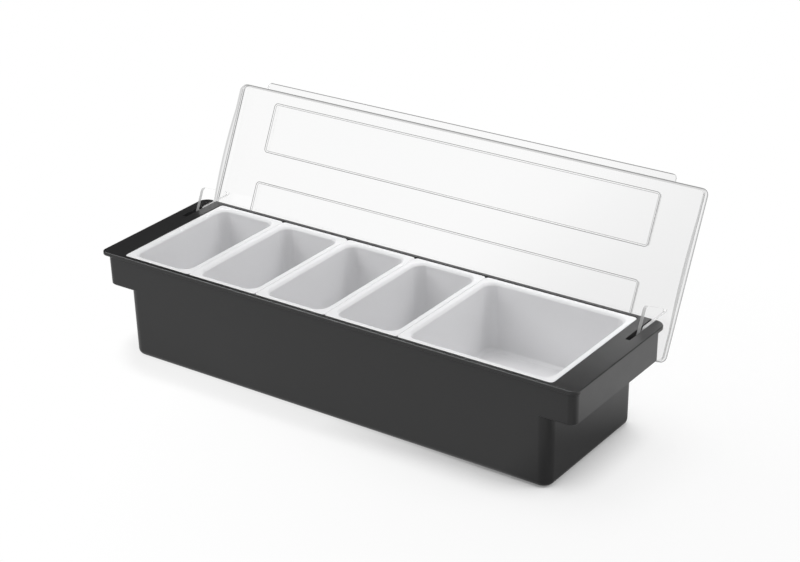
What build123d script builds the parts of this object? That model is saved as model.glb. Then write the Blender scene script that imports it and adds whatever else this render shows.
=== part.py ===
from build123d import *

import os
from math import cos, hypot, radians, sin, sqrt, tan

# Bar garnish tray: a deep moulded housing with a hollow wing at each end, five lift-out
# inserts that hang in a recess of its rim, and a clear lid on two arms.
# Millimetres. X runs along the tray, Y from front to rear and Z up. The origin is the
# middle of the bottom face. The lid is modelled open, leaning back on its stop.

# Housing rim
tray_length = 500.0
tray_depth = 147.6
tray_height = 99.6
rim_thickness = 4.0
rim_overhang = 3.5
rim_front_radius = 6.0
rim_rear_radius = 10.0
rim_edge_radius = 1.0
rim_lower_chamfer = 0.8
end_flange_width = 24.59
side_flange_width = 4.15

# Housing tub and wings
draft_angle = 0.8
tub_inset = 27.8
tub_corner_radius = 10.0
tub_foot_radius = 6.0
tub_wall = 3.0
tub_floor = 3.0
tub_inner_chamfer = 3.0
wing_drop = 33.7
wing_wall = 3.0
wing_corner_radius = 7.0
wing_foot_chamfer = 1.2

# Inserts
small_insert_count = 4
large_insert_places = 2
insert_height = 66.0
insert_wall = 1.8
insert_rim_thickness = 2.0
insert_rim_width = 6.5
insert_rim_radius = 3.5
insert_mouth_chamfer = 1.8
insert_pan_draft = 2.5
insert_pan_corner_radius = 9.8
insert_pan_foot_chamfer = 2.5
insert_spacing = 0.3
insert_side_gap = 0.5
insert_seat_gap = 0.2
insert_sink = 0.3

# Lid
lid_end_inset = 1.25
lid_overreach = 1.4
lid_thickness = 2.5
lid_wall = 2.2
lid_corner_radius = 6.0
lid_edge_chamfer = 0.8
lid_open_angle = 116.2
lid_rest_gap = 0.2
front_skirt_depth = 5.0
rear_skirt_depth = 6.6
end_skirt_front_depth = 6.6
end_skirt_middle_depth = 9.3
end_skirt_rear_depth = 5.6
end_skirt_arch_length = 100.0
skirt_step_length = 3.5

# Lid's finger lip and raised panels
lip_end_inset = 30.55
lip_reach = 6.2
lip_thickness = 2.0
lip_corner_radius = 4.0
panel_end_margin = 41.35
panel_front_margin = 11.15
panel_rear_margin = 10.8
panel_middle_gap = 28.15
front_panel_share = 0.4816
panel_rise = 0.8
panel_slope_width = 2.2
panel_corner_radius = 4.0

# Hinge: a peg on each arm turns in a blind bearing inside the wing's end wall
hinge_setback = 13.6
hinge_drop = 15.6
arm_inset = 12.7
arm_thickness = 3.0
arm_ahead = 30.0
arm_reach = 43.0
arm_corner_radius = 4.0
arm_leg_width = 8.0
arm_knee_radius = 3.0
arm_heel_radius = 8.0
arm_hub_radius = 6.0
arm_crotch_radius = 2.0
peg_radius = 3.0
peg_length = 4.0
bearing_gap = 0.08
bearing_face_gap = 0.4
bearing_end_gap = 0.5
bearing_wall = 2.6

# Slot and groove that each arm moves in
slot_side_gap = 0.7
slot_front_gap = 0.6
slot_rear_offset = 1.0
slot_corner_radius = 1.0
groove_depth = 1.2
groove_gap = 0.4

overrun = 5.0
chamfer_angle = 45.0

# Heights and sizes that follow
rim_underside = tray_height - rim_thickness
wing_underside = tray_height - wing_drop
draft_slope = tan(radians(draft_angle))
wing_length = tray_length - 2 * rim_overhang
wing_depth = tray_depth - 2 * rim_overhang
wing_height = rim_underside - wing_underside
wing_foot_length = wing_length - 2 * wing_height * draft_slope
wing_foot_depth = wing_depth - 2 * wing_height * draft_slope
tub_length = tray_length - 2 * tub_inset
tub_depth = wing_depth - 2 * rim_underside * draft_slope
tub_inner_inset = tub_wall - tub_floor * draft_slope
recess_depth = insert_sink + insert_rim_thickness + insert_seat_gap
recess_length = tray_length - 2 * end_flange_width
recess_width = tray_depth - 2 * side_flange_width

# Inserts side by side: the large one takes more places of the same pitch
block_length = recess_length - 2 * insert_side_gap
insert_places = small_insert_count + large_insert_places
insert_pitch = (block_length + insert_spacing) / insert_places
small_insert_length = insert_pitch - insert_spacing
large_insert_length = large_insert_places * insert_pitch - insert_spacing
insert_depth = recess_width - 2 * insert_side_gap

# Lid and its raised panels
lid_length = tray_length - 2 * lid_end_inset
lid_depth = tray_depth + 2 * lid_overreach
lip_length = lid_length - 2 * lip_end_inset
panel_length = lid_length - 2 * panel_end_margin
both_panels_depth = (
    lid_depth - panel_front_margin - panel_middle_gap - panel_rear_margin
)
front_panel_depth = front_panel_share * both_panels_depth
rear_panel_depth = both_panels_depth - front_panel_depth
front_panel_y = panel_front_margin + (front_panel_depth - lid_depth) / 2
rear_panel_y = (lid_depth - rear_panel_depth) / 2 - panel_rear_margin

# Places on the hinge, with the lid closed
hinge_y = tray_depth / 2 - hinge_setback
hinge_z = tray_height - hinge_drop
lid_top = tray_height + lid_rest_gap + end_skirt_middle_depth
arm_bottom = lid_top - arm_reach
arm_leg_top = arm_bottom + arm_leg_width
arm_front = hinge_y - arm_ahead
arm_x = tray_length / 2 - arm_inset
band_lift = hinge_drop - groove_depth + groove_gap
open_sin = sin(radians(lid_open_angle))
open_cos = cos(radians(lid_open_angle))

# Slot and groove
slot_width = arm_thickness + 2 * slot_side_gap
swing_radius = arm_corner_radius + hypot(
    hinge_y - arm_front - arm_corner_radius,
    hinge_z - arm_bottom - arm_corner_radius,
)
swing_front = hinge_y - sqrt(swing_radius**2 - (hinge_drop - rim_thickness) ** 2)
slot_front = min(swing_front, arm_front) - slot_front_gap
slot_rear = hinge_y - slot_rear_offset
groove_rear = tray_depth / 2 + overrun

# Bearing
bearing_face = arm_x + arm_thickness / 2 + bearing_face_gap
bearing_radius = peg_radius + bearing_gap
bearing_depth = peg_length - bearing_face_gap + bearing_end_gap


def swung(y, z):
    """Where a point of the closed lid lies when the lid stands open."""
    ahead = y - hinge_y
    above = z - hinge_z
    return (
        hinge_y + ahead * open_cos + above * open_sin,
        hinge_z - ahead * open_sin + above * open_cos,
    )


def band_rear(z):
    """Rear edge of an arm's band at a height: level just over the groove when open."""
    return hinge_y + ((z - hinge_z) * open_cos - band_lift) / open_sin


# The lid's planes: local Y and Z are those of the closed lid, from its outer face
lid_origin_y, lid_origin_z = swung(0, lid_top)
lid_plane = Plane(
    origin=(0, lid_origin_y, lid_origin_z),
    x_dir=(1, 0, 0),
    z_dir=(0, open_sin, open_cos),
)


def lid_side(x):
    """Plane across the lid at a place along it, seen from its right end."""
    return Plane(
        origin=lid_plane.from_local_coords((x, 0, 0)),
        x_dir=lid_plane.y_dir,
        z_dir=lid_plane.x_dir,
    )


def drafted_block(place, foot_size, height, draft, corner_radius, foot_chamfer=0):
    """A block that widens upwards, its corners of one radius from foot to top."""
    length, depth = foot_size
    spread = height * tan(radians(draft))
    end_view = Plane(origin=place, x_dir=(0, 1, 0), z_dir=(1, 0, 0))
    front_view = Plane(origin=place, x_dir=(1, 0, 0), z_dir=(0, -1, 0))
    with BuildPart() as block:
        for view, half, reach, mode in (
            (end_view, depth / 2, length / 2 + spread + overrun, Mode.ADD),
            (front_view, length / 2, depth / 2 + spread + overrun, Mode.INTERSECT),
        ):
            with BuildSketch(view):
                with BuildLine():
                    Polyline(
                        (-half, 0),
                        (half, 0),
                        (half + spread, height),
                        (-half - spread, height),
                        close=True,
                    )
                make_face()
            extrude(amount=reach, both=True, mode=mode)
        sloping = block.edges().filter_by(Axis.X, reverse=True)
        sloping = sloping.filter_by(Axis.Y, reverse=True)
        fillet(sloping, corner_radius)
        if foot_chamfer:
            with BuildSketch(Plane(origin=place)):
                RectangleRounded(
                    length - 2 * foot_chamfer,
                    depth - 2 * foot_chamfer,
                    corner_radius - foot_chamfer,
                )
            extrude(amount=height, taper=-chamfer_angle, mode=Mode.INTERSECT)
    return block.part


os.makedirs("parts", exist_ok=True)

# Housing: rim, wings hollow from below, and the tub between them
wing_block = drafted_block(
    (0, 0, wing_underside),
    (wing_foot_length, wing_foot_depth),
    wing_height,
    draft_angle,
    wing_corner_radius,
    wing_foot_chamfer,
)
wing_void = drafted_block(
    (0, 0, wing_underside),
    (wing_foot_length - 2 * wing_wall, wing_foot_depth - 2 * wing_wall),
    wing_height,
    draft_angle,
    wing_corner_radius - wing_wall,
)
tub_void = drafted_block(
    (0, 0, tub_floor),
    (tub_length - 2 * tub_inner_inset, tub_depth - 2 * tub_inner_inset),
    tray_height - tub_floor,
    draft_angle,
    tub_corner_radius - tub_wall,
    tub_inner_chamfer,
)

with BuildPart() as base_housing:
    with BuildSketch(Plane.XY.offset(rim_underside)) as rim_plan:
        Rectangle(tray_length, tray_depth)
        fillet(rim_plan.vertices().group_by(Axis.Y)[0], rim_front_radius)
        fillet(rim_plan.vertices().group_by(Axis.Y)[-1], rim_rear_radius)
    extrude(amount=rim_thickness)
    fillet(base_housing.faces().sort_by(Axis.Z)[-1].edges(), rim_edge_radius)
    chamfer(base_housing.faces().sort_by(Axis.Z)[0].edges(), rim_lower_chamfer)

    add(wing_block)
    add(wing_void, mode=Mode.SUBTRACT)

    with BuildSketch(Plane.XY):
        RectangleRounded(tub_length, tub_depth, tub_corner_radius)
    extrude(amount=rim_underside, taper=-draft_angle)
    fillet(base_housing.faces().sort_by(Axis.Z)[0].edges(), tub_foot_radius)
    add(tub_void, mode=Mode.SUBTRACT)

    with BuildSketch(Plane.XY.offset(tray_height - recess_depth)):
        RectangleRounded(
            recess_length, recess_width, insert_rim_radius + insert_side_gap
        )
    extrude(amount=recess_depth + overrun, mode=Mode.SUBTRACT)

    with BuildSketch(Plane.XY.offset(rim_underside - overrun)):
        with Locations(
            (-arm_x, (slot_front + slot_rear) / 2),
            (arm_x, (slot_front + slot_rear) / 2),
        ):
            RectangleRounded(slot_width, slot_rear - slot_front, slot_corner_radius)
    extrude(amount=rim_thickness + 2 * overrun, mode=Mode.SUBTRACT)
    with BuildSketch(Plane.XY.offset(tray_height - groove_depth)):
        with Locations(
            (-arm_x, (slot_rear - slot_corner_radius + groove_rear) / 2),
            (arm_x, (slot_rear - slot_corner_radius + groove_rear) / 2),
        ):
            Rectangle(slot_width, groove_rear - slot_rear + slot_corner_radius)
    extrude(amount=groove_depth + overrun, mode=Mode.SUBTRACT)

    for side in (-1, 1):
        bearing_plane = Plane(
            origin=(side * bearing_face, hinge_y, hinge_z),
            x_dir=(0, 1, 0),
            z_dir=(side, 0, 0),
        )
        with BuildSketch(bearing_plane):
            Circle(bearing_radius + bearing_wall)
        extrude(amount=wing_length / 2 - wing_wall / 2 - bearing_face)
        with BuildSketch(bearing_plane):
            Circle(bearing_radius)
        extrude(amount=bearing_depth, mode=Mode.SUBTRACT)

base_housing.part.label = "base_housing"
export_step(base_housing.part, "parts/base_housing.step")


# Inserts: drafted pans with a flat rim, hung side by side in the recess
def make_insert(name, centre_x, length):
    """Make and write one insert."""
    pan_bottom = tray_height - insert_sink - insert_height
    pan_slope = tan(radians(insert_pan_draft))
    mouth_length = length - 2 * insert_rim_width
    mouth_depth = insert_depth - 2 * insert_rim_width
    cavity_height = insert_height - insert_wall
    cavity_length = mouth_length - 2 * cavity_height * pan_slope
    cavity_depth = mouth_depth - 2 * cavity_height * pan_slope
    wall_at_foot = insert_wall * (1 - pan_slope)
    top_plane = Plane(origin=(centre_x, 0, tray_height - insert_sink))

    pan = drafted_block(
        (centre_x, 0, pan_bottom),
        (cavity_length + 2 * wall_at_foot, cavity_depth + 2 * wall_at_foot),
        insert_height,
        insert_pan_draft,
        insert_pan_corner_radius + insert_wall,
        insert_pan_foot_chamfer + insert_wall,
    )
    cavity = drafted_block(
        (centre_x, 0, pan_bottom + insert_wall),
        (cavity_length, cavity_depth),
        cavity_height + overrun,
        insert_pan_draft,
        insert_pan_corner_radius,
        insert_pan_foot_chamfer,
    )

    with BuildPart() as insert:
        add(pan)
        with BuildSketch(top_plane.offset(-insert_rim_thickness)):
            RectangleRounded(length, insert_depth, insert_rim_radius)
        extrude(amount=insert_rim_thickness)
        add(cavity, mode=Mode.SUBTRACT)
        with BuildSketch(top_plane.offset(-2 * insert_mouth_chamfer)):
            RectangleRounded(
                mouth_length - 2 * insert_mouth_chamfer,
                mouth_depth - 2 * insert_mouth_chamfer,
                insert_pan_corner_radius - insert_mouth_chamfer,
            )
        extrude(
            amount=2 * insert_mouth_chamfer + overrun,
            taper=-chamfer_angle,
            mode=Mode.SUBTRACT,
        )
    insert.part.label = name
    export_step(insert.part, f"parts/{name}.step")


insert_left = -block_length / 2
for number in range(1, small_insert_count + 1):
    make_insert(
        f"small_insert_{number}",
        insert_left + small_insert_length / 2,
        small_insert_length,
    )
    insert_left += small_insert_length + insert_spacing
make_insert(
    "large_insert", insert_left + large_insert_length / 2, large_insert_length
)

# Lid: panel, skirts, finger lip, raised panels, arms and hinge pegs in one moulding
with BuildPart() as lid:
    with BuildSketch(lid_plane):
        RectangleRounded(lid_length, lid_depth, lid_corner_radius)
    extrude(amount=-end_skirt_middle_depth)
    lid_up = Axis(lid_plane.origin, lid_plane.z_dir)
    chamfer(lid.faces().sort_by(lid_up)[-1].edges(), lid_edge_chamfer)
    with BuildSketch(lid_plane.offset(-lid_thickness)):
        RectangleRounded(
            lid_length - 2 * lid_wall,
            lid_depth - 2 * lid_wall,
            lid_corner_radius - lid_wall,
        )
    extrude(amount=-end_skirt_middle_depth, mode=Mode.SUBTRACT)

    skirt_edge = lid_depth / 2 + overrun
    skirt_cut_depth = end_skirt_middle_depth + overrun
    with BuildSketch(lid_side(-lid_length / 2 - overrun)):
        with BuildLine():
            Polyline(
                (-end_skirt_arch_length / 2, -end_skirt_front_depth),
                (lid_wall + skirt_step_length - lid_depth / 2, -end_skirt_front_depth),
                (lid_wall - lid_depth / 2, -front_skirt_depth),
                (-skirt_edge, -front_skirt_depth),
                (-skirt_edge, -skirt_cut_depth),
                (skirt_edge, -skirt_cut_depth),
                (skirt_edge, -rear_skirt_depth),
                (lid_depth / 2 - lid_wall, -rear_skirt_depth),
                (lid_depth / 2 - lid_wall - skirt_step_length, -end_skirt_rear_depth),
                (end_skirt_arch_length / 2, -end_skirt_rear_depth),
            )
            ThreePointArc(
                (end_skirt_arch_length / 2, -end_skirt_rear_depth),
                (0, -end_skirt_middle_depth),
                (-end_skirt_arch_length / 2, -end_skirt_front_depth),
            )
        make_face()
    extrude(amount=lid_length + 2 * overrun, mode=Mode.SUBTRACT)

    with BuildSketch(lid_plane.offset(-front_skirt_depth)) as lip_plan:
        with Locations((0, -(lid_depth + lip_reach) / 2 + lid_wall / 2)):
            Rectangle(lip_length, lip_reach + lid_wall)
        fillet(lip_plan.vertices().group_by(Axis.Y)[0], lip_corner_radius)
    extrude(amount=lip_thickness)

    for panel_y, panel_depth in (
        (front_panel_y, front_panel_depth),
        (rear_panel_y, rear_panel_depth),
    ):
        for height, mode in ((0, Mode.ADD), (-lid_thickness, Mode.SUBTRACT)):
            with BuildSketch(lid_plane.offset(height)):
                with Locations((0, panel_y)):
                    RectangleRounded(panel_length, panel_depth, panel_corner_radius)
            with BuildSketch(lid_plane.offset(height + panel_rise)):
                with Locations((0, panel_y)):
                    RectangleRounded(
                        panel_length - 2 * panel_slope_width,
                        panel_depth - 2 * panel_slope_width,
                        panel_corner_radius - panel_slope_width,
                    )
            loft(mode=mode)

    arm_root = -lid_thickness / 2
    for side in (-1, 1):
        with BuildSketch(lid_side(side * arm_x - arm_thickness / 2)) as arm_plan:
            with BuildLine():
                Polyline(
                    (hinge_y + arm_hub_radius, hinge_z - lid_top),
                    (hinge_y + arm_hub_radius, -arm_reach),
                    (arm_front, -arm_reach),
                    (arm_front, arm_root),
                    (band_rear(lid_top + arm_root), arm_root),
                    (band_rear(arm_leg_top), arm_leg_top - lid_top),
                    (hinge_y - arm_hub_radius, arm_leg_top - lid_top),
                    (hinge_y - arm_hub_radius, hinge_z - lid_top),
                )
                ThreePointArc(
                    (hinge_y - arm_hub_radius, hinge_z - lid_top),
                    (hinge_y, hinge_z - lid_top + arm_hub_radius),
                    (hinge_y + arm_hub_radius, hinge_z - lid_top),
                )
            make_face()
            for corner, radius in (
                ((arm_front, -arm_reach), arm_corner_radius),
                ((hinge_y + arm_hub_radius, -arm_reach), arm_heel_radius),
                ((band_rear(arm_leg_top), arm_leg_top - lid_top), arm_knee_radius),
                ((hinge_y - arm_hub_radius, arm_leg_top - lid_top), arm_crotch_radius),
            ):
                fillet(arm_plan.vertices().sort_by_distance(corner)[0], radius)
        extrude(amount=arm_thickness)
        peg_plane = Plane(
            origin=(side * (arm_x + arm_thickness / 2), hinge_y, hinge_z),
            x_dir=(0, 1, 0),
            z_dir=(side, 0, 0),
        )
        with BuildSketch(peg_plane):
            Circle(peg_radius)
        extrude(amount=peg_length)

lid.part.label = "lid"
export_step(lid.part, "parts/lid.step")
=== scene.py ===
from math import cos, radians, sin

import bpy
from mathutils import Matrix, Vector

# Bar garnish tray: a charcoal housing, white lift-out inserts and a clear hinged lid

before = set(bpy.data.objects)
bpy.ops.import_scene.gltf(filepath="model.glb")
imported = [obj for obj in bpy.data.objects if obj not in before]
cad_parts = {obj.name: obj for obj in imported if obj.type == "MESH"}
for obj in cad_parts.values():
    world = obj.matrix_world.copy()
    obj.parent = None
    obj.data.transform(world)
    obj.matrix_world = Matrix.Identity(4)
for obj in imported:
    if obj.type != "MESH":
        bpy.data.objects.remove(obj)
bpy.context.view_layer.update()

# Edges of the CAD pieces as shown
WELD_DISTANCE = 1e-5
FLAT_ANGLE = radians(0.5)
CORNER_ANGLE, LID_CORNER_ANGLE = radians(30), radians(24)
HOUSING_EDGE, INSERT_EDGE, LID_EDGE = 0.0004, 0.0006, 0.0003
EDGE_SEGMENTS = 2

# Lid as it stands open: its own directions, and its sizes in metres as in the CAD piece
LID_OPEN = radians(116.2)
ACROSS = Vector((1, 0, 0))
LID_UP = Vector((0, sin(LID_OPEN), cos(LID_OPEN)))
LID_FRONT = Vector((0, -cos(LID_OPEN), sin(LID_OPEN)))
LID_PANEL_RISE = 0.0008
LID_THICKNESS = 0.0025
LID_WALL = 0.0022
LIP_REACH = 0.0062
ARM_PLACE, ARM_HALF = 0.2373, 0.0016

# Painted shade lines at the lid's edges, in place of the dark that refraction gives there: place
# on each slope, width, and share of light let through
LINE_START, LINE_SHARE, LINE_BLUR = 0.02, 0.3, 0.0001
OUTER_SHADE_LINE, INNER_SHADE_LINE, CHAMFER_SHADE_LINE = 0.2, 0.45, 0.45
LIP_SHADE_LINE, LIP_LINE_WIDTH = 0.45, 0.0007
FOOT_SHADE_LINE, FOOT_LINE_WIDTH = 0.55, 0.0007
# Painted shade on the skirts, their lower rims and the arms' narrow sides: share of light let
# through
WALL_PAINTED_SHADE, RIM_PAINTED_SHADE, ARM_EDGE_PAINTED_SHADE = 0.92, 0.8, 0.5

# A normal that reaches further than this along a direction faces that way
FACING = 0.7

# Share of light that passes the lid straight, and painted light: a white diffuse share on the
# arms' narrow sides
PANEL_STRAIGHT, WALL_STRAIGHT = 0.35, 1.0
ARM_EDGE_PAINTED_LIGHT = 0.45
ARM_EDGE_LIGHT_COLOUR = (0.9, 0.9, 0.9, 1)
LID_SHADOW_COLOUR = (0.93, 0.93, 0.93, 1)

# Camera, fitted to the photograph: place and aim in metres
IMAGE_SIZE = (800, 562)
SENSOR_WIDTH = 36.0
CAMERA_PLACE = Vector((0.93499, -1.26821, 0.84134))
CAMERA_AIM = Vector((0.00273, 0.0, 0.08189))
CAMERA_ROLL = radians(-1.52)
FOCAL_PIXELS = 2003.92
OPTICAL_CENTRE = (374.07, 304.12)
FAR_CLIP = 100.0

# Brightness of the studio's walls for each kind of ray; the gloss brightens towards the right
WHITE = (1, 1, 1, 1)
FILL_LEVEL = 0.48
WHITE_LEVEL = 1.0
DARK_SIDE, BRIGHT_SIDE = (0.2, 0.03), (0.5, 0.8)

# Floor, and how far round the object shade is painted on it: distance and share of white
FLOOR_SIZE = 60.0
FLOOR_COLOUR = (0.9, 0.9, 0.9, 1)
SHADE_CENTRE = (0.3, -0.05, 0)
NEAR_SHADE, FAR_SHADE = (0.1, 0.74), (0.45, 1.0)

# Painted contact shadow: how open the floor is and share of white, and place along x where it
# fades
CONTACT_REACH = 0.05
CONTACT_FALL = ((0.45, 0.2), (0.88, 1.0))
LEFT_CONTACT = ((0.0, 0.8), (0.22, 0.0))

# Floor as the lid and the gloss show it, painted by place: painted shade through the lid towards
# the right, and painted reflection brightness in the gloss: place and brightness
THROUGH_LID = ((-0.08, 0.975), (0.05, 0.85))
GLOSS_FALL = ((0.17, 0.64), (0.22, 0.22))
GLOSS_RISE = ((0.25, 0.1), (0.4, 1.0))
GLOSS_FRONT = ((-0.14, 0.5), (-0.09, 0.0))

# Lamps: place, height of the place aimed at, side in metres and power in watts
OVERHEAD = {"place": (-0.3, 0.1, 2.2), "aim": 0.05, "side": 1.6, "power": 20.0}
RIGHT_REAR = {"place": (1.7, 0.7, 1.7), "aim": 0.05, "side": 1.0, "power": 14.0}
FRONT_LEFT = {"place": (-1.4, -1.4, 1.4), "aim": 0.08, "side": 1.2, "power": 14.8}
GLINT = {"place": (-1.3, -1.0, 1.9), "aim": 0.08, "side": 0.7, "power": 26.0}

# Plastics: colour, refraction, grain of the gloss, and relief etched by the mould
CHARCOAL = {
    "colour": (0.018, 0.018, 0.0184, 1),
    "ior": 1.5,
    "grain_scale": 45.0,
    "roughness": (0.29, 0.34),
    "relief_scale": 2200.0,
    "relief": 0.06,
}
SATIN_WHITE = {
    "colour": (0.765, 0.765, 0.775, 1),
    "ior": 1.49,
    "grain_scale": 60.0,
    "roughness": (0.3, 0.38),
    "relief_scale": 1500.0,
    "relief": 0.08,
}
CLEAR_IOR, CLEAR_GRAIN_SCALE, CLEAR_ROUGHNESS = 1.5, 20.0, (0.0, 0.02)
GRAIN_DETAIL = 2.0
GRAIN_LOW, GRAIN_HIGH = 0.3, 0.7
RELIEF_DEPTH = 0.0001


def add_camera():
    """The photograph's viewing angle and framing."""
    ahead = (CAMERA_AIM - CAMERA_PLACE).normalized()
    level_right = ahead.cross(Vector((0, 0, 1))).normalized()
    level_up = level_right.cross(ahead)
    right = cos(CAMERA_ROLL) * level_right + sin(CAMERA_ROLL) * level_up
    up = cos(CAMERA_ROLL) * level_up - sin(CAMERA_ROLL) * level_right
    data = bpy.data.cameras.new("camera")
    data.sensor_width = SENSOR_WIDTH
    data.lens = FOCAL_PIXELS / IMAGE_SIZE[0] * SENSOR_WIDTH
    data.shift_x = (IMAGE_SIZE[0] / 2 - OPTICAL_CENTRE[0]) / IMAGE_SIZE[0]
    data.shift_y = (OPTICAL_CENTRE[1] - IMAGE_SIZE[1] / 2) / IMAGE_SIZE[0]
    data.clip_end = FAR_CLIP
    camera = bpy.data.objects.new("camera", data)
    turn = Matrix((right, up, -ahead)).transposed().to_4x4()
    camera.matrix_world = Matrix.Translation(CAMERA_PLACE) @ turn
    bpy.context.scene.collection.objects.link(camera)
    bpy.context.scene.camera = camera


def feed(tree, socket, value):
    """Give a socket a number, a colour or another node's output."""
    if isinstance(value, bpy.types.NodeSocket):
        tree.links.new(value, socket)
    else:
        socket.default_value = value


def new_material(name):
    """An empty node material, with its node tree and output."""
    material = bpy.data.materials.new(name)
    material.use_nodes = True
    tree = material.node_tree
    tree.nodes.clear()
    output = tree.nodes.new("ShaderNodeOutputMaterial")
    return material, tree, output


def add_mix(tree, first, second, factor):
    """A mix of two shaders by a factor."""
    mix = tree.nodes.new("ShaderNodeMixShader")
    tree.links.new(factor, mix.inputs[0])
    tree.links.new(first.outputs[0], mix.inputs[1])
    tree.links.new(second.outputs[0], mix.inputs[2])
    return mix


def add_glow(tree, kind, strength):
    """White light of a given strength, from a surface or the world."""
    glow = tree.nodes.new(kind)
    glow.inputs["Color"].default_value = WHITE
    feed(tree, glow.inputs["Strength"], strength)
    return glow


def add_range(tree, value, low, high):
    """A value mapped between two (input, output) pairs."""
    node = tree.nodes.new("ShaderNodeMapRange")
    node.inputs["From Min"].default_value, node.inputs["To Min"].default_value = low
    node.inputs["From Max"].default_value, node.inputs["To Max"].default_value = high
    tree.links.new(value, node.inputs["Value"])
    return node.outputs["Result"]


def compute(tree, operation, first, second=0):
    """The result of a math operation on numbers and other nodes' outputs."""
    node = tree.nodes.new("ShaderNodeMath")
    node.operation = operation
    feed(tree, node.inputs[0], first)
    feed(tree, node.inputs[1], second)
    return node.outputs[0]


def multiply(tree, first, *others):
    """The product of two or more values."""
    for other in others:
        first = compute(tree, "MULTIPLY", first, other)
    return first


def add_world():
    """White to the eye and through the lid, dim in a gloss, and a soft fill."""
    world = bpy.data.worlds.new("studio")
    bpy.context.scene.world = world
    world.use_nodes = True
    tree = world.node_tree
    tree.nodes.clear()
    output = tree.nodes.new("ShaderNodeOutputWorld")
    paths = tree.nodes.new("ShaderNodeLightPath")
    place = tree.nodes.new("ShaderNodeTexCoord")
    way = tree.nodes.new("ShaderNodeSeparateXYZ")
    tree.links.new(place.outputs["Generated"], way.inputs[0])
    gloss_level = add_range(tree, way.outputs["X"], DARK_SIDE, BRIGHT_SIDE)
    light = add_glow(tree, "ShaderNodeBackground", FILL_LEVEL)
    for ray, level in (
        ("Is Glossy Ray", gloss_level),
        ("Is Transmission Ray", WHITE_LEVEL),
        ("Is Camera Ray", WHITE_LEVEL),
    ):
        seen = add_glow(tree, "ShaderNodeBackground", level)
        light = add_mix(tree, light, seen, paths.outputs[ray])
    tree.links.new(light.outputs[0], output.inputs["Surface"])


def floor_painted_shade(tree, place, x):
    """Share of white in the floor, less near the object and least where it stands: painted shade.
    """
    distance = tree.nodes.new("ShaderNodeVectorMath")
    distance.operation = "DISTANCE"
    distance.inputs[1].default_value = SHADE_CENTRE
    tree.links.new(place, distance.inputs[0])
    share = add_range(tree, distance.outputs["Value"], NEAR_SHADE, FAR_SHADE)
    contact = tree.nodes.new("ShaderNodeAmbientOcclusion")
    contact.inputs["Distance"].default_value = CONTACT_REACH
    near_share = add_range(tree, contact.outputs["AO"], *CONTACT_FALL)
    left_share = add_range(tree, x, *LEFT_CONTACT)
    return multiply(tree, share, compute(tree, "MAXIMUM", near_share, left_share))


def painted_floor_reflection(tree, x, y):
    """Painted reflection: brightness of the floor as a gloss shows it, set by place on the floor.
    """
    fall = add_range(tree, x, *GLOSS_FALL)
    rise = add_range(tree, compute(tree, "ADD", x, y), *GLOSS_RISE)
    in_front = add_range(tree, y, *GLOSS_FRONT)
    return compute(tree, "MAXIMUM", compute(tree, "MAXIMUM", fall, rise), in_front)


def add_floor():
    """A pale floor that keeps the object's shadow, with painted shade round the object and a
    painted look in gloss and through the lid.
    """
    half = FLOOR_SIZE / 2
    corners = [(-half, -half, 0), (half, -half, 0), (half, half, 0), (-half, half, 0)]
    mesh = bpy.data.meshes.new("floor")
    mesh.from_pydata(corners, [], [(0, 1, 2, 3)])
    floor = bpy.data.objects.new("floor", mesh)
    bpy.context.scene.collection.objects.link(floor)
    material, tree, output = new_material("floor")
    place = tree.nodes.new("ShaderNodeTexCoord").outputs["Object"]
    across = tree.nodes.new("ShaderNodeSeparateXYZ")
    tree.links.new(place, across.inputs[0])
    x, y = across.outputs["X"], across.outputs["Y"]
    matt = tree.nodes.new("ShaderNodeBsdfDiffuse")
    matt.inputs["Color"].default_value = FLOOR_COLOUR
    white = add_glow(tree, "ShaderNodeEmission", WHITE_LEVEL)
    # Painted reflection and painted shade: the floor glows by place for glossy rays, and darker
    # towards the right through the lid
    gloss = add_glow(tree, "ShaderNodeEmission", painted_floor_reflection(tree, x, y))
    through = add_glow(tree, "ShaderNodeEmission", add_range(tree, x, *THROUGH_LID))
    paths = tree.nodes.new("ShaderNodeLightPath")
    surface = add_mix(tree, matt, white, floor_painted_shade(tree, place, x))
    surface = add_mix(tree, surface, gloss, paths.outputs["Is Glossy Ray"])
    surface = add_mix(tree, surface, through, paths.outputs["Is Transmission Ray"])
    surface = add_mix(tree, surface, matt, paths.outputs["Is Diffuse Ray"])
    tree.links.new(surface.outputs[0], output.inputs["Surface"])
    mesh.materials.append(material)


def light_group(name, nodes):
    """A collection of CAD pieces for a lamp that lights them alone."""
    group = bpy.data.collections.new(name)
    for node in nodes:
        group.objects.link(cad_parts[node])
    return group


def add_softbox(name, place, aim, side, power, lit=None, gloss_only=False):
    """A square area lamp pointed at a place above the origin."""
    data = bpy.data.lights.new(name, "AREA")
    data.shape = "SQUARE"
    data.size = side
    data.energy = power
    lamp = bpy.data.objects.new(name, data)
    lamp.location = place
    lamp.rotation_euler = (Vector((0, 0, aim)) - Vector(place)).to_track_quat("-Z", "Y").to_euler()
    bpy.context.scene.collection.objects.link(lamp)
    lamp.visible_diffuse = not gloss_only
    if lit:
        lamp.light_linking.receiver_collection = lit


def grain(tree, scale):
    """Noise in the object's own coordinates."""
    place = tree.nodes.new("ShaderNodeTexCoord")
    noise = tree.nodes.new("ShaderNodeTexNoise")
    noise.inputs["Scale"].default_value = scale
    noise.inputs["Detail"].default_value = GRAIN_DETAIL
    tree.links.new(place.outputs["Object"], noise.inputs["Vector"])
    return noise.outputs["Fac"]


def grained_roughness(tree, scale, low, high):
    """Roughness that varies between two values with a grain."""
    return add_range(tree, grain(tree, scale), (GRAIN_LOW, low), (GRAIN_HIGH, high))


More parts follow.
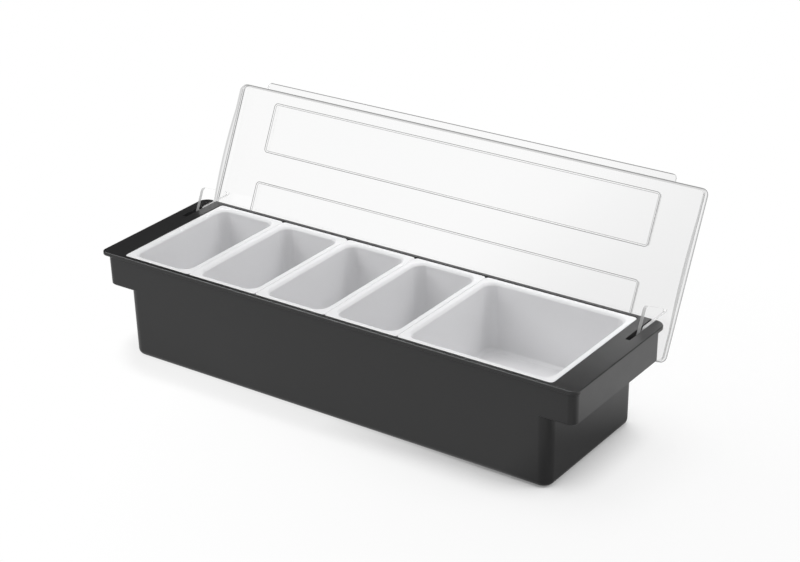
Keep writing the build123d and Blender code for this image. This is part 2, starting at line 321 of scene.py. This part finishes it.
def opaque_plastic(name, colour, ior, grain_scale, roughness, relief_scale, relief):
    """Moulded plastic with a finely etched mould texture."""
    material, tree, output = new_material(name)
    shader = tree.nodes.new("ShaderNodeBsdfPrincipled")
    shader.inputs["Base Color"].default_value = colour
    shader.inputs["IOR"].default_value = ior
    varied = grained_roughness(tree, grain_scale, *roughness)
    tree.links.new(varied, shader.inputs["Roughness"])
    bump = tree.nodes.new("ShaderNodeBump")
    bump.inputs["Strength"].default_value = relief
    bump.inputs["Distance"].default_value = RELIEF_DEPTH
    tree.links.new(grain(tree, relief_scale), bump.inputs["Height"])
    tree.links.new(bump.outputs["Normal"], shader.inputs["Normal"])
    tree.links.new(shader.outputs[0], output.inputs["Surface"])
    return material


def place_along(tree, direction, what="Object"):
    """How far a point of the object, or its normal, reaches along a direction of its own."""
    place = tree.nodes.new("ShaderNodeTexCoord")
    along = tree.nodes.new("ShaderNodeVectorMath")
    along.operation = "DOT_PRODUCT"
    along.inputs[1].default_value = direction
    tree.links.new(place.outputs[what], along.inputs[0])
    return along.outputs["Value"]


def lid_walls(tree, end, front, rear):
    """1 in the lid's skirts and over them, 0 elsewhere."""
    skirt = front - LIP_REACH
    edge = LID_WALL + LINE_BLUR
    across = compute(tree, "ABSOLUTE", place_along(tree, ACROSS))
    along = place_along(tree, LID_FRONT)
    at_end = add_range(tree, across, (end - edge, 0), (end - LID_WALL, 1))
    near_front = add_range(tree, along, (skirt - edge, 0), (skirt - LID_WALL, 1))
    at_front = multiply(tree, near_front, compute(tree, "LESS_THAN", along, skirt + LINE_BLUR))
    at_rear = add_range(tree, along, (rear + LID_WALL, 1), (rear + edge, 0))
    return compute(tree, "MAXIMUM", compute(tree, "MAXIMUM", at_end, at_front), at_rear)


def lid_arms(tree, top, walls):
    """1 in the lid's arms, and 1 on their narrow sides, 0 elsewhere."""
    underside = top - LID_THICKNESS - LID_PANEL_RISE - LINE_BLUR
    across = compute(tree, "ABSOLUTE", place_along(tree, ACROSS))
    off_middle = compute(tree, "ABSOLUTE", compute(tree, "SUBTRACT", across, ARM_PLACE))
    arms = multiply(
        tree,
        compute(tree, "LESS_THAN", off_middle, ARM_HALF),
        compute(tree, "LESS_THAN", place_along(tree, LID_UP), underside),
        compute(tree, "SUBTRACT", 1, walls),
    )
    sideways = compute(tree, "ABSOLUTE", place_along(tree, ACROSS, "Normal"))
    edges = multiply(tree, arms, compute(tree, "LESS_THAN", sideways, FACING))
    return arms, edges


def slope_painted_shade(tree, top):
    """White, with painted shade lines at the slopes of the panels and at the lid's chamfer."""
    height = LID_THICKNESS + LID_PANEL_RISE
    level = add_range(tree, place_along(tree, LID_UP), (top - height, 0), (top, 1))
    slope = LID_PANEL_RISE / height
    chamfer = (LID_THICKNESS - LID_PANEL_RISE) / height
    steps = (
        (LINE_START * slope, OUTER_SHADE_LINE),
        (LINE_SHARE * slope, 1),
        ((1 - LINE_SHARE) * slope, INNER_SHADE_LINE),
        ((1 - LINE_START) * slope, 1),
        (chamfer + LINE_START * slope, CHAMFER_SHADE_LINE),
        (chamfer + (1 - LINE_START) * slope, 1),
    )
    ramp = tree.nodes.new("ShaderNodeValToRGB")
    ramp.color_ramp.interpolation = "CONSTANT"
    ramp.color_ramp.elements.remove(ramp.color_ramp.elements[1])
    ramp.color_ramp.elements[0].color = WHITE
    for position, grey in steps:
        ramp.color_ramp.elements.new(position).color = (grey, grey, grey, 1)
    tree.links.new(level, ramp.inputs["Fac"])
    return ramp.outputs["Color"]


def foot_painted_shade(tree, top, front, walls):
    """White, with painted shade at the foot of the panel's underside and on the skirts' lower
    rims.
    """
    depth = compute(
        tree, "SUBTRACT", top - LID_THICKNESS - LID_PANEL_RISE, place_along(tree, LID_UP)
    )
    below = compute(tree, "GREATER_THAN", depth, LINE_BLUR)
    lip_start = front - LIP_REACH + LINE_BLUR
    on_lip = compute(tree, "GREATER_THAN", place_along(tree, LID_FRONT), lip_start)
    bare = compute(tree, "MAXIMUM", on_lip, compute(tree, "SUBTRACT", 1, below))
    line_end = FOOT_LINE_WIDTH + LINE_BLUR
    line = add_range(tree, depth, (FOOT_LINE_WIDTH, FOOT_SHADE_LINE), (line_end, 1))
    upright = compute(tree, "ABSOLUTE", place_along(tree, LID_UP, "Normal"))
    rim = multiply(tree, compute(tree, "GREATER_THAN", upright, FACING), below, walls)
    rim_painted_shade = add_range(tree, rim, (0, 1), (1, RIM_PAINTED_SHADE))
    return multiply(tree, compute(tree, "MAXIMUM", line, bare), rim_painted_shade)


def lip_painted_shade(tree, front):
    """White, with a painted shade line at the finger lip's end."""
    edge = front - LIP_LINE_WIDTH
    return add_range(
        tree, place_along(tree, LID_FRONT), (edge - LINE_BLUR, 1), (edge, LIP_SHADE_LINE)
    )


def clear_plastic(end, top, front, rear):
    """Clear moulded plastic, with painted shade as thin grey lines at its edges."""
    material, tree, output = new_material("clear_plastic")
    walls = lid_walls(tree, end, front, rear)
    arms, arm_edges = lid_arms(tree, top, walls)
    # Painted shade at the edges, skirts and arm sides, in the colour of the glass and of its
    # straight share
    painted_edge_shade = multiply(
        tree,
        slope_painted_shade(tree, top),
        lip_painted_shade(tree, front),
        foot_painted_shade(tree, top, front, walls),
        add_range(tree, walls, (0, 1), (1, WALL_PAINTED_SHADE)),
        add_range(tree, arm_edges, (0, 1), (1, ARM_EDGE_PAINTED_SHADE)),
    )
    shader = tree.nodes.new("ShaderNodeBsdfPrincipled")
    shader.inputs["Transmission Weight"].default_value = 1.0
    shader.inputs["IOR"].default_value = CLEAR_IOR
    roughness = grained_roughness(tree, CLEAR_GRAIN_SCALE, *CLEAR_ROUGHNESS)
    tree.links.new(roughness, shader.inputs["Roughness"])
    tree.links.new(painted_edge_shade, shader.inputs["Base Color"])
    straight = tree.nodes.new("ShaderNodeBsdfTransparent")
    tree.links.new(painted_edge_shade, straight.inputs["Color"])
    # Painted light: a white diffuse share on the arms' narrow sides stands in for the light the
    # clear plates carry to their edges
    arm_edge_light = tree.nodes.new("ShaderNodeBsdfDiffuse")
    arm_edge_light.inputs["Color"].default_value = ARM_EDGE_LIGHT_COLOUR
    shadow = tree.nodes.new("ShaderNodeBsdfTransparent")
    shadow.inputs["Color"].default_value = LID_SHADOW_COLOUR
    paths = tree.nodes.new("ShaderNodeLightPath")
    plates = compute(tree, "MAXIMUM", walls, arms)
    share = add_range(tree, plates, (0, PANEL_STRAIGHT), (1, WALL_STRAIGHT))
    not_mirrored = compute(tree, "SUBTRACT", 1, paths.outputs["Is Reflection Ray"])
    surface = add_mix(tree, shader, straight, multiply(tree, share, not_mirrored))
    surface = add_mix(tree, surface, arm_edge_light, add_range(tree, arm_edges, (0, 0), (1, ARM_EDGE_PAINTED_LIGHT)))
    surface = add_mix(tree, surface, shadow, paths.outputs["Is Shadow Ray"])
    tree.links.new(surface.outputs[0], output.inputs["Surface"])
    return material


def dress(node, material, edge_width, corner_angle, smooth=True):
    """Give a CAD node its finish, with its sharp edges rounded to the eye."""
    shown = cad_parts[node]
    mesh = shown.data
    mesh.materials.clear()
    mesh.materials.append(material)
    if "custom_normal" in mesh.attributes:
        mesh.attributes.remove(mesh.attributes["custom_normal"])
    if smooth:
        mesh.shade_smooth()
    else:
        mesh.shade_flat()
    weld = shown.modifiers.new("weld", "WELD")
    weld.merge_threshold = WELD_DISTANCE
    flat = shown.modifiers.new("flat", "DECIMATE")
    flat.decimate_type = "DISSOLVE"
    flat.angle_limit = FLAT_ANGLE
    edges = shown.modifiers.new("edges", "BEVEL")
    edges.width = edge_width
    edges.segments = EDGE_SEGMENTS
    edges.limit_method = "ANGLE"
    edges.angle_limit = corner_angle
    edges.harden_normals = True
    if smooth:
        weighted = shown.modifiers.new("weighted", "WEIGHTED_NORMAL")
        weighted.keep_sharp = True


add_camera()
add_world()
add_floor()
solid_pieces = light_group("solid_pieces", [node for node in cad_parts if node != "lid"])
housing_only = light_group("housing_only", ["base_housing"])
add_softbox("overhead", **OVERHEAD)
add_softbox("right_rear", **RIGHT_REAR)
add_softbox("front_left", **FRONT_LEFT, lit=solid_pieces)
add_softbox("glint", **GLINT, lit=housing_only, gloss_only=True)

charcoal = opaque_plastic("charcoal_plastic", **CHARCOAL)
white = opaque_plastic("white_plastic", **SATIN_WHITE)
lid_points = [vertex.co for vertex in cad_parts["lid"].data.vertices]
clear = clear_plastic(
    end=max(point.x for point in lid_points),
    top=max(LID_UP.dot(point) for point in lid_points),
    front=max(LID_FRONT.dot(point) for point in lid_points),
    rear=min(LID_FRONT.dot(point) for point in lid_points),
)
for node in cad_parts:
    if node == "base_housing":
        dress(node, charcoal, HOUSING_EDGE, CORNER_ANGLE)
    elif node == "lid":
        dress(node, clear, LID_EDGE, LID_CORNER_ANGLE, smooth=False)
    else:
        dress(node, white, INSERT_EDGE, CORNER_ANGLE)

bpy.context.scene.view_settings.view_transform = "Standard"
